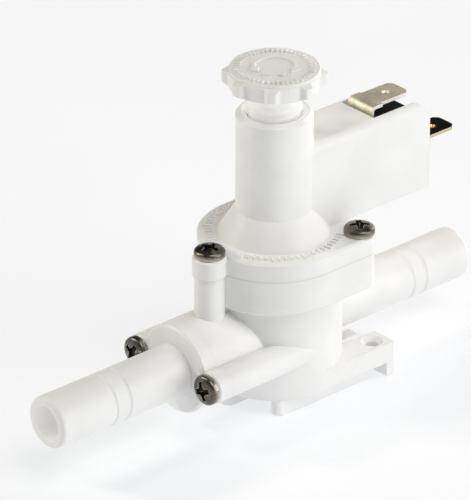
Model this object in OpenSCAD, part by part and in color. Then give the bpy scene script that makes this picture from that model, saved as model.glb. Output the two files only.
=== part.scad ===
// In-line water pressure switch: two push-fit stems on one pipe axis, a
// diaphragm cover with a spring tower, an adjusting knob on a threaded shank
// and a snap-action switch in a side housing.
// The pipe runs along X with the inlet at -X. The origin lies on the ground
// under the tower axis.

/* [Pipe] */
// Height of the pipe axis above the ground
pipe_z = 14.2; // [14:0.1:17]
// Outside diameter of both stems
stem_d = 12; // [10:0.5:12.5]
// Bore of both stems
stem_bore = 8; // [6:0.5:8.5]
// Tower axis to the tip of the inlet stem
inlet_reach = 65.1; // [58:0.1:90]
// Tower axis to the tip of the outlet stem
outlet_reach = 54.5; // [48:0.1:80]
// Rounding at the tip of each stem
tip_round = 1; // [0.3:0.1:1.2]
// Tip of the inlet stem to the middle of its first insertion groove
inlet_groove = 14.7; // [8:0.1:16]
// Tip of the outlet stem to the middle of its first insertion groove
outlet_groove = 13.8; // [8:0.1:16]
// Distance between the two insertion grooves of a stem
groove_pitch = 3.9; // [2:0.1:6]
// Radius of the round bottom of an insertion groove
groove_r = 0.8; // [0.6:0.1:1.5]
// Depth of an insertion groove
groove_depth = 0.35; // [0.2:0.05:0.6]

/* [Inlet coupling] */
// Tower axis to the outer face of the coupling plate
plate_x = 29.1; // [28.5:0.1:34]
// Thickness of the coupling plate
plate_t = 3.8; // [3:0.1:4.4]
// Diameter of the coupling plate and of the inlet barrel
barrel_d = 20.4; // [19.6:0.1:22]
// Bore of the inlet barrel
barrel_bore = 15; // [14:0.1:15.6]
// Distance between the two coupling screws
ear_pitch = 23.2; // [22.6:0.1:26]
// Diameter of the screw ears and of the bosses behind them
ear_d = 7.2; // [6.8:0.1:8]
// Length of the spigot inside the barrel
spigot_len = 4; // [3.6:0.1:4.4]
// Thickness of the O-ring on the spigot
o_ring_t = 1.4; // [1:0.1:1.6]

/* [Check valve] */
// Diameter of the valve disc
poppet_d = 11.2; // [10:0.1:12]
// Thickness of the valve disc
poppet_t = 1.5; // [1:0.1:2]
// Thickness of the rubber washer on the disc
seal_t = 1.2; // [0.8:0.1:1.6]
// Diameter of the hub that holds the washer
hub_d = 5.6; // [4:0.1:6.4]
// Diameter of the valve's guide stem
guide_d = 3; // [2.4:0.1:3.6]
// Length of the guide stem past the web
guide_past = 1; // [0.5:0.1:2]
// Wire of the check spring
check_wire = 0.6; // [0.4:0.1:0.7]
// Turns of the check spring
check_turns = 4; // [3:1:4]
// Opening travel of the check valve
check_travel = 2.5; // [1:0.1:3]

/* [Body] */
// Diameter of the lower body
body_d = 30.2; // [29:0.1:32]
// Diameter of the pressure chamber
chamber_d = 22; // [21.4:0.1:23]
// Floor under the pressure chamber
floor_t = 3.4; // [2:0.1:5]
// Web between the barrel and the chamber
web_t = 2; // [1.4:0.1:2.4]
// Height of the body's skirt
skirt_h = 8.3; // [8:0.1:9.4]
// Diameter of the round side of the flange
flange_d = 33.8; // [33.4:0.1:35]
// Tower axis to the corner screws, along the pipe
corner_x = 12.8; // [12.4:0.1:14]
// Radius of the flange's corners round the corner screws
corner_r = 3.3; // [3:0.1:3.5]
// Round side of the flange to the rear screw
rear_out = 1.8; // [1.5:0.1:2.3]
// Diameter of the column under the rear screw
column_d = 6.8; // [6:0.1:7.4]
// Chamfer on the outer edges of the mouldings
edge = 0.5; // [0.2:0.1:0.7]

/* [Feet] */
// Height of the body above the ground
foot_h = 4; // [3:0.1:4.2]
// Thickness of a foot rib
rib_t = 2.9; // [2:0.1:3.4]
// Distance between the middles of the outer ribs
rib_pitch = 21.9; // [18:0.1:22.6]
// Tower axis to the inlet end of the outer ribs
rib_start = 9.9; // [4:0.1:10]
// Tower axis to the outlet end of the outer ribs
rib_end = 17.2; // [15.6:0.1:17.2]
// Tower axis to the inlet end of the middle rib
keel_start = 15.3; // [8:0.1:20]
// Tower axis to the outlet end of the middle rib
keel_end = 24; // [18:0.1:30]
// Width of a foot arm
arm_w = 6.4; // [5.6:0.1:6.8]
// Thickness of a foot arm
arm_t = 4.8; // [3:0.1:5.4]
// Tower axis to the end of a foot arm
arm_end = 22.3; // [22.3:0.1:28]
// Thickness of the claw at the end of a foot arm
claw_t = 2.1; // [1.2:0.1:2.1]
// Gap between a claw and the ground
claw_gap = 0.6; // [0.1:0.1:2]
// Diameter of the fixing hole in a foot arm
arm_hole_d = 3; // [2.4:0.1:3]
// Diameter of the countersink over the fixing hole
arm_sink_d = 5; // [3.4:0.1:5.2]

/* [Cover] */
// Height of the cover's flange face above the ground
cover_z = 38.5; // [38:0.1:44]
// Thickness of the cover's flange
cover_t = 4.4; // [3.9:0.1:4.6]
// Diameter of the collar under the rear screw
collar_d = 7.7; // [7.4:0.1:8.4]
// Diameter of the cone where it meets the flange
cone_d = 24.8; // [24:0.1:26]
// Height of the cone
cone_h = 6; // [5:0.1:8]
// Outside diameter of the spring tower
tower_d = 17; // [16.4:0.1:18]
// Height of the tower above the flange face
tower_h = 29; // [27:0.1:34]
// Bore of the tower around the spring
tower_bore = 13.4; // [13:0.1:13.8]
// Length of the threaded neck at the top of the tower
neck_h = 7; // [4:0.1:7.2]
// Diameter of the countersink in the tower's rim
rim_sink_d = 14.8; // [13:0.1:15.2]
// Depth of the countersink in the tower's rim
rim_sink_h = 0.6; // [0.3:0.1:1.4]
// Chamfer round the tower's rim
rim_chamfer = 0.8; // [0.2:0.1:0.8]

/* [Knob] */
// Diameter over the lobes of the knob
knob_d = 23; // [21.6:0.1:26]
// Diameter of the knob between its lobes
knob_root_d = 20.2; // [18:0.1:20.8]
// Thickness of the knob
knob_t = 4.1; // [3:0.1:7]
// Height at which a lobe reaches its full length
lobe_z = 0.7; // [0.3:0.1:1.5]
// Drop of a lobe's end below the face of the knob
lobe_drop = 1; // [0.2:0.1:1.6]
// Width of a lobe at its root
lobe_root_w = 3.9; // [2.2:0.1:4.5]
// Width of a lobe at its end
lobe_end_w = 1.2; // [0.6:0.1:2]
// Number of lobes
lobes = 8; // [5:1:10]
// Angle at which the knob stands
knob_angle = -135; // [-180:0.5:180]
// Diameter of the threaded shank
shank_d = 12; // [11:0.1:12]
// Length of the threaded shank
shank_len = 15.3; // [15:0.1:18]
// Gap between the tower's rim and the knob
knob_gap = 6.1; // [5.5:0.1:6.1]

/* [Pressure spring] */
// Wire of the pressure spring
spring_wire = 1.4; // [0.8:0.1:1.5]
// Mean diameter of the pressure spring
spring_d = 10; // [9:0.1:10.4]
// Turns of the pressure spring
spring_turns = 7; // [4:1:8]
// Thickness of the spring follower
follower_t = 2.2; // [1.6:0.1:2.6]
// Height of the pilots that centre the spring
pilot_h = 2; // [1:0.1:2.4]
// Diaphragm thickness
diaphragm_t = 1.2; // [0.8:0.1:1.6]
// Width of the diaphragm's clamped rim
clamp_w = 3.3; // [2.4:0.1:3.4]
// Diameter of the pressure plate
piston_d = 19.8; // [18:0.1:20.2]
// Thickness of the pressure plate
piston_t = 3; // [2.2:0.1:3]
// Working travel of the pressure plate
lift = 1; // [0.5:0.1:1]
// Width of the striker arm
striker_w = 5; // [3:0.1:5.4]
// Thickness of the striker arm
striker_t = 1.2; // [0.8:0.1:1.6]

/* [Switch housing] */
// Wall of the switch housing
housing_wall = 1.9; // [1.2:0.1:2.4]
// Floor of the switch housing
housing_floor = 1; // [0.8:0.1:1.6]
// Roof of the switch housing
roof_t = 1.2; // [0.8:0.1:1.6]
// Gap between the end of the roof and the common terminal
roof_gap = 0.7; // [0.3:0.1:4]
// Fillet along the upper edges of the housing
housing_fillet = 2; // [0.6:0.1:2.4]
// Length by which the housing's walls pass the switch
end_lip = 4; // [1:0.1:6]
// Rounding of the housing's upper corner at its open end
housing_round = 4.5; // [1:0.1:6]

/* [Switch] */
// Tower axis to the near end of the switch
switch_x = 7.9; // [7.7:0.1:9]
// Length of the switch case
switch_len = 27.8; // [27:0.1:30]
// Height of the switch case
switch_h = 15.9; // [14.5:0.1:17]
// Width of the switch case
switch_w = 10.3; // [10:0.1:11]
// Wall of the switch case
case_wall = 1.5; // [1.2:0.1:1.5]
// Thickness of the switch lid
lid_t = 1.2; // [0.8:0.1:1.4]
// Near end of the switch to its plunger
plunger_at = 7.2; // [6:0.1:8]
// Diameter of the plunger
plunger_d = 3.4; // [2.6:0.1:3.8]
// Height of the collar that keeps the plunger in the case
plunger_collar = 0.8; // [0.5:0.1:1]
// Height of the plunger's tip above its collar
plunger_tip = 0.8; // [0.5:0.1:1.2]
// Near end of the switch to the common terminal
com_at = 17.6; // [16.1:0.1:18]
// Near end of the switch to the contacts
contact_at = 23.4; // [22.6:0.1:23.6]
// Diameter of the contacts
contact_d = 2.4; // [1.6:0.1:2.6]
// Height of a contact
contact_h = 0.5; // [0.3:0.1:0.8]
// Thickness of the moving blade
blade_t = 0.5; // [0.3:0.1:0.6]
// Width of the moving blade
blade_w = 3.4; // [2.6:0.1:4]
// Diameter of the roll on which the blade rocks
pivot_d = 1; // [0.8:0.1:1.4]
// Wire of the return spring
return_wire = 0.3; // [0.2:0.05:0.3]
// Turns of the return spring
return_turns = 2; // [1:1:2]

/* [Terminals] */
// Width of a spade
spade_w = 6.3; // [4.8:0.1:6.3]
// Thickness of a spade
spade_t = 0.8; // [0.5:0.1:0.8]
// Chamfer at the tip of a spade
spade_tip = 1.05; // [0.4:0.05:1.5]
// Width of the common terminal at its bend
shoulder_w = 7.6; // [6.8:0.1:9]
// Length of the wide part of the common terminal from its bend
shoulder_len = 3.4; // [2.5:0.1:6]
// Outer radius of the common terminal's bend
bend_r = 1.4; // [1:0.1:1.8]
// Height of the common spade above the switch
com_rise = 3; // [2:0.1:5]
// Length of the common spade from its bend
com_len = 12.1; // [10:0.1:15]
// Length of the end spade outside the switch
end_len = 15.8; // [12:0.1:18]
// Tip of a spade to the middle of its latch hole
latch_at = 4.3; // [3:0.1:5]
// Diameter of the latch hole in a spade
latch_d = 1; // [0.6:0.1:1.8]
// Diameter of the dimple round the latch hole
dimple_d = 1.9; // [1.9:0.1:3]

/* [Screws] */
// Head diameter of the screws
head_d = 6.9; // [5.5:0.1:7]
// Head height of the screws
head_h = 2.4; // [1.8:0.1:2.8]
// Radius of the dome of the screw heads
head_dome = 6.5; // [4.5:0.1:8]
// Core diameter of the screws
screw_d = 3.2; // [2.6:0.1:3.4]
// Length of the cover screws under the head
cover_screw_len = 11.5; // [9:0.1:11.5]
// Length of the inlet screws under the head
inlet_screw_len = 10; // [8:0.1:14]
// Length of the cross recess
recess_len = 3.8; // [2.4:0.1:4.2]
// Width of the cross recess
recess_w = 0.9; // [0.6:0.1:1.2]

/* [Fits] */
// Gap between pieces that move past each other
run_gap = 0.3; // [0.2:0.05:0.35]
// Gap between pieces that are fitted together
snug = 0.1; // [0.05:0.01:0.15]
// Gap between the switch and its housing
switch_gap = 0.15; // [0.1:0.05:0.3]
// Gap round the screws where they pass through
screw_gap = 0.3; // [0.2:0.05:0.4]

/* [Hidden] */
$fn = 64;

// Overrun that lets cuts pass a face and joins pass a seam
over = 0.5;

// Levels of the clamped joint between body and cover
seam_z = cover_z - cover_t;
skirt_z = seam_z - skirt_h;
corner_pitch = flange_d - 2 * corner_r;
rear_x = flange_d / 2 + rear_out;
flange_end = corner_x + corner_r;
cover_screw_at = [[corner_x, -corner_pitch / 2], [corner_x, corner_pitch / 2], [-rear_x, 0]];
diaphragm_d = chamber_d + 2 * clamp_w;

// Positions along the pipe, measured from the tower axis
barrel_x = -(plate_x - plate_t);
seat_x = barrel_x + spigot_len;
web_x = -(chamber_d / 2 + web_t);
seal_x = seat_x + snug;
disc_x = seal_x + seal_t;
disc_back = disc_x + poppet_t;
check_len = web_x - disc_back - 2 * snug;
stop_d = guide_d + 2 * run_gap + check_wire;
check_d = stop_d + check_wire + 2 * run_gap;
o_ring_d = barrel_bore - o_ring_t - snug;
port_d = (barrel_bore - check_d) / 4;
port_ring = (barrel_bore + check_d + check_wire) / 2 - port_d / 2;

// Levels of the diaphragm, the pressure plate and the spring
piston_z = seam_z + snug / 2;
piston_top = piston_z + piston_t;
cavity_d = piston_d + 2 * run_gap;
cavity_top = piston_top + lift + run_gap;
tower_top = cover_z + tower_h;
knob_z = tower_top + knob_gap;
shank_z = knob_z - shank_len;
follower_top = shank_z - run_gap;
follower_z = follower_top - follower_t;
spring_len = follower_z - piston_top - 2 * snug;
pilot_d = spring_d - spring_wire - 2 * run_gap;

// Levels and reach of the switch and its housing
channel_z = cover_z + housing_floor;
striker_z = channel_z + run_gap;
plunger_z = striker_z + striker_t + run_gap;
case_z = plunger_z + lift;
case_top = case_z + switch_h;
roof_z = case_top + switch_gap;
housing_top = roof_z + roof_t;
housing_in = switch_w + 2 * switch_gap;
housing_w = housing_in + 2 * housing_wall;
case_end = switch_x + switch_len;
housing_end = case_end + end_lip;
plunger_x = switch_x + plunger_at;
com_x = switch_x + com_at;
roof_end = com_x - spade_t / 2 - roof_gap;
contact_x = switch_x + contact_at;
case_floor = case_z + case_wall;
lid_y = switch_w / 2 - lid_t;
com_top = case_top + com_rise;

// Levels inside the switch
collar_z = case_floor + snug;
tip_z = collar_z + plunger_collar + plunger_tip;
blade_z = tip_z + run_gap;
blade_top = blade_z + blade_t;
spade_z = blade_top + 2 * contact_h + snug;
return_d = blade_w - 2 * return_wire;
return_len = blade_z - case_floor - 2 * snug;

// Round block with a chamfered upper edge
module rim_disc(d, h, c) {
  rotate_extrude()
    polygon([[0, 0], [d / 2, 0], [d / 2, h - c], [d / 2 - c, h], [0, h]]);
}

// Stem standing on z = 0, with a rounded tip and two insertion grooves
module stem(length, groove) {
  r = stem_d / 2;
  rotate_extrude()
    difference() {
      union() {
        square([r, length - tip_round]);
        square([r - tip_round, length]);
        translate([r - tip_round, length - tip_round])
          circle(tip_round);
      }
      for (g = [groove, groove + groove_pitch])
        translate([r + groove_r - groove_depth, length - g])
          circle(groove_r);
    }
}

// Places a shape that stands on z = 0 on the pipe axis, pointing at +X
module along_pipe(x, y = 0) {
  translate([x, y, pipe_z])
    rotate([0, 90, 0])
      children();
}

// D-shaped flange: round towards the inlet, square corners at the outlet
module flange_block(h, c) {
  side = flange_d / 2;
  rim_disc(flange_d, h, c);
  for (s = [-1, 1])
    translate([corner_x, s * corner_pitch / 2, 0])
      rim_disc(2 * corner_r, h, c);
  rotate([90, 0, 90])
    linear_extrude(corner_x)
      polygon([[-side, 0], [side, 0], [side, h - c], [side - c, h], [c - side, h], [-side, h - c]]);
  translate([0, corner_pitch / 2, 0])
    rotate([90, 0, 0])
      linear_extrude(corner_pitch)
        polygon([[0, 0], [flange_end, 0], [flange_end, h - c], [flange_end - c, h], [0, h]]);
}

// Pan-head screw, head seat on z = 0 and shank downwards
module pan_screw(length) {
  difference() {
    union() {
      intersection() {
        cylinder(d = head_d, h = head_h);
        translate([0, 0, head_h - head_dome])
          sphere(r = head_dome);
      }
      translate([0, 0, -length])
        rotate_extrude()
          polygon([[0, 0], [screw_d / 4, 0], [screw_d / 2, screw_d / 2], [screw_d / 2, length + over],
            [0, length + over]]);
    }
    for (a = [0, 90])
      rotate(a)
        translate([-recess_len / 2, -recess_w / 2, head_h / 2])
          cube([recess_len, recess_w, head_h]);
  }
}

// Middle line of a coil that winds up the z axis
function coil_line(d, rise, turns, rings) =
  [for (i = [0:turns * rings])
    let (t = 360 * i / rings)
      [d / 2 * cos(t), d / 2 * sin(t), rise * i / (turns * rings)]];

// Least gap between neighbouring turns of a coil
function coil_gap(d, wire, length, turns, rings = 8) =
  let (line = coil_line(d, length - wire, turns, rings))
    min([for (i = [0:len(line) - 1 - rings]) norm(line[i + rings] - line[i])]) - wire;

// Coil spring standing on z = 0, one unbroken tube
module coil(d, wire, length, turns, rings = 8, sides = 6) {
  line = coil_line(d, length - wire, turns, rings);
  count = len(line);
  points = [for (i = [0:count - 1])
    let (t = 360 * i / rings)
      for (j = [0:sides - 1])
        let (a = 360 * j / sides + 30, out = wire / 2 * cos(a))
          line[i] + [out * cos(t), out * sin(t), wire / 2 * (1 + sin(a))]];
  skin = [for (i = [0:count - 2])
    for (j = [0:sides - 1])
      let (k = (j + 1) % sides, p = i * sides, q = p + sides)
        each [[p + j, p + k, q + j], [p + k, q + k, q + j]]];
  last = (count - 1) * sides;
  ends = [for (j = [1:sides - 2])
    each [[0, j + 1, j], [last, last + j, last + j + 1]]];
  polyhedron(points = points, faces = concat(skin, ends), convexity = 10);
}

// Flat spade with a chamfered tip and a dimpled latch hole, tip towards +X
module spade(length) {
  difference() {
    linear_extrude(spade_t)
      difference() {
        polygon([[0, -spade_w / 2], [length - spade_tip, -spade_w / 2], [length, spade_tip - spade_w / 2],
          [length, spade_w / 2 - spade_tip], [length - spade_tip, spade_w / 2], [0, spade_w / 2]]);
        translate([length - latch_at, 0])
          circle(d = latch_d);
      }
    translate([length - latch_at, 0, spade_t / 2])
      cylinder(d1 = latch_d, d2 = 2 * dimple_d - latch_d, h = spade_t);
  }
}

// Three ribs along the pipe, the middle one longer, with rounded inlet ends
module foot_ribs() {
  ribs = [[-rib_pitch / 2, rib_start, rib_end], [0, keel_start, keel_end],
    [rib_pitch / 2, rib_start, rib_end]];
  for (rib = ribs)
    translate([rib_t / 2 - rib[1], rib[0], 0]) {
      translate([0, 0, foot_h])
        mirror([0, 0, 1])
          rim_disc(rib_t, foot_h, edge);
      translate([0, -rib_t / 2, 0])
        cube([rib[1] + rib[2] - rib_t / 2, rib_t, foot_h]);
      translate([rib_t, -rib_t / 2, foot_h - over])
        cube([rib[1] + rib[2] - 1.5 * rib_t, rib_t, 2 * over]);
    }
}

// Two arms that carry the fixing holes, each with a claw down to the ground
module foot_arms() {
  hole_x = (rib_end + arm_end - claw_t) / 2;
  for (s = [-1, 1])
    translate([0, s * (body_d - arm_w) / 2, 0])
      difference() {
        union() {
          translate([0, -arm_w / 2, foot_h])
            cube([arm_end, arm_w, arm_t]);
          translate([arm_end - claw_t, -arm_w / 2, claw_gap])
            cube([claw_t, arm_w, foot_h + over - claw_gap]);
        }
        translate([hole_x, 0, -over])
          cylinder(d = arm_hole_d, h = foot_h + arm_t + 2 * over);
        translate([hole_x, 0, foot_h + arm_t - (arm_sink_d - arm_hole_d) / 2])
          cylinder(d1 = arm_hole_d, d2 = arm_sink_d + 2 * over, h = (arm_sink_d - arm_hole_d) / 2 + over);
      }
}

module valve_body() {
  color("white")
    difference() {
      union() {
        difference() {
          union() {
            translate([0, 0, foot_h])
              cylinder(d = body_d, h = skirt_z - foot_h + over);
            along_pipe(barrel_x)
              cylinder(d = barrel_d, h = -barrel_x);
            for (s = [-1, 1])
              along_pipe(barrel_x, s * ear_pitch / 2)
                cylinder(d = ear_d, h = -barrel_x);
            translate([-rear_x, 0, pipe_z])
              cylinder(d = column_d, h = seam_z - pipe_z);
            translate([-rear_x, -column_d / 4, pipe_z])
              cube([rear_x, column_d / 2, seam_z - pipe_z]);
          }
          along_pipe(barrel_x - over)
            cylinder(d = barrel_bore, h = web_x - barrel_x + over);
        }
        translate([0, 0, seam_z])
          mirror([0, 0, 1])
            flange_block(skirt_h, edge);
        along_pipe(0)
          stem(outlet_reach, outlet_groove);
        foot_ribs();
        foot_arms();
      }
      translate([0, 0, foot_h + floor_t])
        cylinder(d = chamber_d, h = seam_z);
      translate([0, 0, seam_z - diaphragm_t])
        cylinder(d = diaphragm_d + 2 * snug, h = cover_t);
      along_pipe(web_x - over)
        cylinder(d = guide_d + 2 * snug, h = -web_x);
      for (a = [30:60:330])
        along_pipe(web_x - over)
          rotate(a)
            translate([port_ring / 2, 0, 0])
              cylinder(d = port_d, h = -web_x);
      along_pipe(0)
        cylinder(d = stem_bore, h = outlet_reach + over);
      for (p = cover_screw_at)
        translate([p[0], p[1], cover_z - cover_screw_len - over])
          cylinder(d = screw_d + snug, h = cover_screw_len);
      for (s = [-1, 1])
        along_pipe(barrel_x - over, s * ear_pitch / 2)
          cylinder(d = screw_d + snug, h = inlet_screw_len - plate_t + 2 * over);
    }
}

module inlet_stem() {
  groove_x = spigot_len / 2 - o_ring_t / 2 - snug;
  color("white")
    difference() {
      union() {
        along_pipe(-plate_x + over)
          mirror([0, 0, 1])
            stem(inlet_reach - plate_x + over, inlet_groove);
        along_pipe(barrel_x)
          mirror([0, 0, 1]) {
            rim_disc(barrel_d, plate_t, edge);
            for (s = [-1, 1])
              translate([0, s * ear_pitch / 2, 0])
                rim_disc(ear_d, plate_t, edge);
          }
        along_pipe(barrel_x - over)
          cylinder(d = barrel_bore - 2 * snug, h = spigot_len + over);
      }
      along_pipe(-inlet_reach - over)
        cylinder(d = stem_bore, h = inlet_reach);
      for (s = [-1, 1])
        along_pipe(-plate_x - over, s * ear_pitch / 2)
          cylinder(d = screw_d + 2 * screw_gap, h = plate_t + 2 * over);
      along_pipe(barrel_x + groove_x)
        difference() {
          cylinder(d = barrel_bore + over, h = o_ring_t + 2 * snug);
          translate([0, 0, -over])
            cylinder(d = o_ring_d - o_ring_t - snug, h = o_ring_t + 2 * over);
        }
    }
}

module inlet_o_ring() {
  color("dimgray")
    along_pipe(barrel_x + spigot_len / 2)
      rotate_extrude()
        translate([o_ring_d / 2, 0])
          circle(d = o_ring_t, $fn = 32);
}

module inlet_screws() {
  color("slategray")
    for (s = [-1, 1])
      along_pipe(-plate_x, s * ear_pitch / 2)
        mirror([0, 0, 1])
          pan_screw(inlet_screw_len);
}

// Disc, hub for the washer, guide stem and the shoulder that stops the travel
module check_poppet() {
  color("gainsboro")
    along_pipe(disc_x) {
      cylinder(d = poppet_d, h = poppet_t);
      translate([0, 0, -seal_t])
        cylinder(d = hub_d, h = seal_t + over);
      cylinder(d = stop_d, h = web_x - disc_x - check_travel - snug);
      cylinder(d = guide_d, h = web_x - disc_x + web_t + guide_past);
    }
}

module check_seal() {
  color("dimgray")
    along_pipe(seal_x)
      difference() {
        cylinder(d = poppet_d, h = seal_t);
        translate([0, 0, -over])
          cylinder(d = hub_d + 2 * snug, h = seal_t + 2 * over);
      }
}

module check_spring() {
  color("silver")
    along_pipe(disc_back + snug)
      coil(check_d, check_wire, check_len, check_turns);
}

// Clamped rim, one convolution and a flat middle under the pressure plate
module diaphragm() {
  ring = (chamber_d - piston_d) / 2;
  roll = chamber_d / 2 - snug - ring;
  color("dimgray")
    translate([0, 0, seam_z - diaphragm_t])
      rotate_extrude()
        difference() {
          union() {
            square([diaphragm_d / 2, diaphragm_t]);
            translate([roll, 0])
              circle(ring, $fn = 32);
          }
          translate([roll, diaphragm_t])
            circle(ring - 2 * snug, $fn = 32);
          translate([0, diaphragm_t])
            square([diaphragm_d, chamber_d]);
        }
}

// Pressure plate with the spring pilot and the striker arm
module piston() {
  riser_x = tower_bore / 2 + run_gap;
  riser_len = piston_d / 2 - 2 * run_gap - riser_x;
  color("ivory") {
    translate([0, 0, piston_z])
      cylinder(d = piston_d, h = piston_t);
    translate([0, 0, piston_top - over])
      rim_disc(pilot_d, pilot_h + over, edge);
    translate([riser_x, -striker_w / 2, piston_top - over])
      cube([riser_len, striker_w, striker_z + striker_t - piston_top + over]);
    translate([riser_x, -striker_w / 2, striker_z])
      cube([plunger_x - riser_x, striker_w, striker_t]);
    translate([plunger_x, 0, striker_z])
      cylinder(d = striker_w, h = striker_t);
  }
}

module pressure_spring() {
  color("silver")
    translate([0, 0, piston_top + snug])
      coil(spring_d, spring_wire, spring_len, spring_turns);
}

module spring_follower() {
  color("gainsboro") {
    translate([0, 0, follower_z])
      cylinder(d = tower_bore - 2 * run_gap, h = follower_t);
    translate([0, 0, follower_z + over])
      mirror([0, 0, 1])
        rim_disc(pilot_d, pilot_h + over, edge);
  }
}

// Lobed outline of the knob
module knob_outline() {
  root_r = knob_root_d / 2;
  foot_x = root_r - edge;
  tip_x = knob_d / 2 + over;
  circle(root_r);
  for (i = [0:lobes - 1])
    rotate(360 * i / lobes)
      polygon([[foot_x, -lobe_root_w / 2], [tip_x, -lobe_end_w / 2], [tip_x, lobe_end_w / 2],
        [foot_x, lobe_root_w / 2]]);
}

module adjuster_knob() {
  r = knob_d / 2;
  face_r = (knob_root_d - edge) / 2;
  color("whitesmoke") {
    translate([0, 0, knob_z])
      rotate(knob_angle)
        intersection() {
          linear_extrude(knob_t)
            knob_outline();
          rotate_extrude()
            polygon([[0, 0], [face_r, 0], [r, lobe_z], [r, knob_t - lobe_drop], [face_r, knob_t], [0, knob_t]]);
        }
    translate([0, 0, knob_z + over])
      mirror([0, 0, 1])
        rim_disc(shank_d, shank_len + over, edge);
  }
}

// Outline of the switch housing seen along the pipe
module housing_outline() {
  h = housing_top - cover_z + over;
  translate([-housing_w / 2, 0])
    square([housing_w, h - housing_fillet]);
  translate([housing_fillet - housing_w / 2, 0])
    square([housing_w - 2 * housing_fillet, h]);
  for (s = [-1, 1])
    translate([s * (housing_w / 2 - housing_fillet), h - housing_fillet])
      circle(housing_fillet);
}

// Housing shell before its inside is cut out, with the rounded end corner
module housing_block() {
  difference() {
    translate([0, 0, cover_z - over])
      rotate([90, 0, 90])
        linear_extrude(housing_end)
          housing_outline();
    translate([flange_end, -housing_w, cover_z - 2 * over])
      cube([housing_end, 2 * housing_w, 2 * over]);
    translate([housing_end - housing_round, housing_w, housing_top - housing_round])
      rotate([90, 0, 0])
        linear_extrude(2 * housing_w)
          difference() {
            square(housing_round + over);
            circle(housing_round);
          }
  }
}

module cover() {
  neck_d = shank_d + 2 * snug;
  sink_run = (rim_sink_d - neck_d) / rim_sink_h;
  slot_w = striker_w + 2 * run_gap;
  color("white")
    difference() {
      union() {
        translate([0, 0, seam_z])
          flange_block(cover_t, edge);
        translate([-rear_x, 0, seam_z])
          rim_disc(collar_d, cover_t, edge);
        translate([0, 0, cover_z - over])
          rotate_extrude()
            polygon([[0, 0], [cone_d / 2, 0], [cone_d / 2, over], [tower_d / 2, cone_h + over],
              [tower_d / 2, tower_h + over - rim_chamfer], [tower_d / 2 - rim_chamfer, tower_h + over],
              [0, tower_h + over]]);
        housing_block();
      }
      translate([0, 0, seam_z - over])
        cylinder(d = cavity_d, h = cavity_top - seam_z + over);
      translate([0, 0, seam_z])
        cylinder(d = tower_bore, h = tower_top - neck_h - seam_z);
      translate([0, 0, seam_z])
        cylinder(d = neck_d, h = tower_top);
      translate([0, 0, tower_top - rim_sink_h])
        cylinder(d1 = neck_d, d2 = rim_sink_d + sink_run * over, h = rim_sink_h + over);
      translate([0, -slot_w / 2, seam_z])
        cube([piston_d / 2 - run_gap, slot_w, case_z - seam_z]);
      translate([0, -slot_w / 2, channel_z])
        cube([housing_end + over, slot_w, case_z - channel_z + over]);
      translate([switch_x - switch_gap, -housing_in / 2, case_z])
        cube([housing_end, housing_in, roof_z - case_z]);
      translate([roof_end, -housing_in / 2, case_z])
        cube([housing_end, housing_in, switch_h + com_rise]);
      for (p = cover_screw_at)
        translate([p[0], p[1], seam_z - over])
          cylinder(d = screw_d + 2 * screw_gap, h = cover_t + 2 * over);
    }
}

module cover_screws() {
  color("slategray")
    for (p = cover_screw_at)
      translate([p[0], p[1], cover_z])
        pan_screw(cover_screw_len);
}

// Case open towards the lid, with slots for the terminals and the plunger
module switch_case() {
  color("black")
    difference() {
      translate([switch_x, -switch_w / 2, case_z])
        cube([switch_len, switch_w - lid_t, switch_h]);
      translate([switch_x + case_wall, case_wall - switch_w / 2, case_floor])
        cube([switch_len - 2 * case_wall, switch_w, switch_h - 2 * case_wall]);
      translate([plunger_x, 0, case_z - over])
        cylinder(d = plunger_d + 2 * snug, h = case_wall + 2 * over);
      translate([com_x - spade_t / 2 - snug, -spade_w / 2 - snug, case_top - 2 * case_wall])
        cube([spade_t + 2 * snug, spade_w + 2 * snug, 3 * case_wall]);
      translate([case_end - 2 * case_wall, -spade_w / 2 - snug, spade_z - snug])
        cube([3 * case_wall, spade_w + 2 * snug, spade_t + 2 * snug]);
    }
}

module switch_lid() {
  color("black")
    translate([switch_x, lid_y, case_z])
      cube([switch_len, lid_t, switch_h]);
}

// Button with the collar that keeps it in the case and a tip for the blade
module switch_plunger() {
  color("dimgray") {
    translate([plunger_x, 0, plunger_z])
      cylinder(d = plunger_d, h = collar_z - plunger_z + plunger_collar);
    translate([plunger_x, 0, collar_z])
      cylinder(d = plunger_d + plunger_collar, h = plunger_collar);
    translate([plunger_x, 0, collar_z])
      cylinder(d = plunger_d / 2, h = plunger_collar + plunger_tip);
  }
}

// Rocking blade, from above the plunger to under the fixed contact, with the
// roll that turns against the foot of the common terminal
module contact_blade() {
  near_x = plunger_x - plunger_d / 2;
  color("goldenrod") {
    translate([com_x, 0, blade_top])
      rotate([90, 0, 0])
        cylinder(d = pivot_d, h = blade_w, center = true);
    translate([near_x, -blade_w / 2, blade_z])
      cube([contact_x - near_x, blade_w, blade_t]);
    translate([contact_x, 0, blade_z])
      cylinder(d = blade_w, h = blade_t);
  }
}

module moving_contact() {
  color("silver")
    translate([contact_x, 0, blade_top])
      cylinder(d = contact_d, h = contact_h);
}

module fixed_contact() {
  color("silver")
    translate([contact_x, 0, spade_z - contact_h])
      cylinder(d = contact_d, h = contact_h);
}

// Small coil under the blade's free end
module return_spring() {
  color("silver")
    translate([(com_x + contact_x) / 2 + contact_d / 2, 0, case_floor + snug])
      coil(return_d, return_wire, return_len, return_turns);
}

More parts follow.
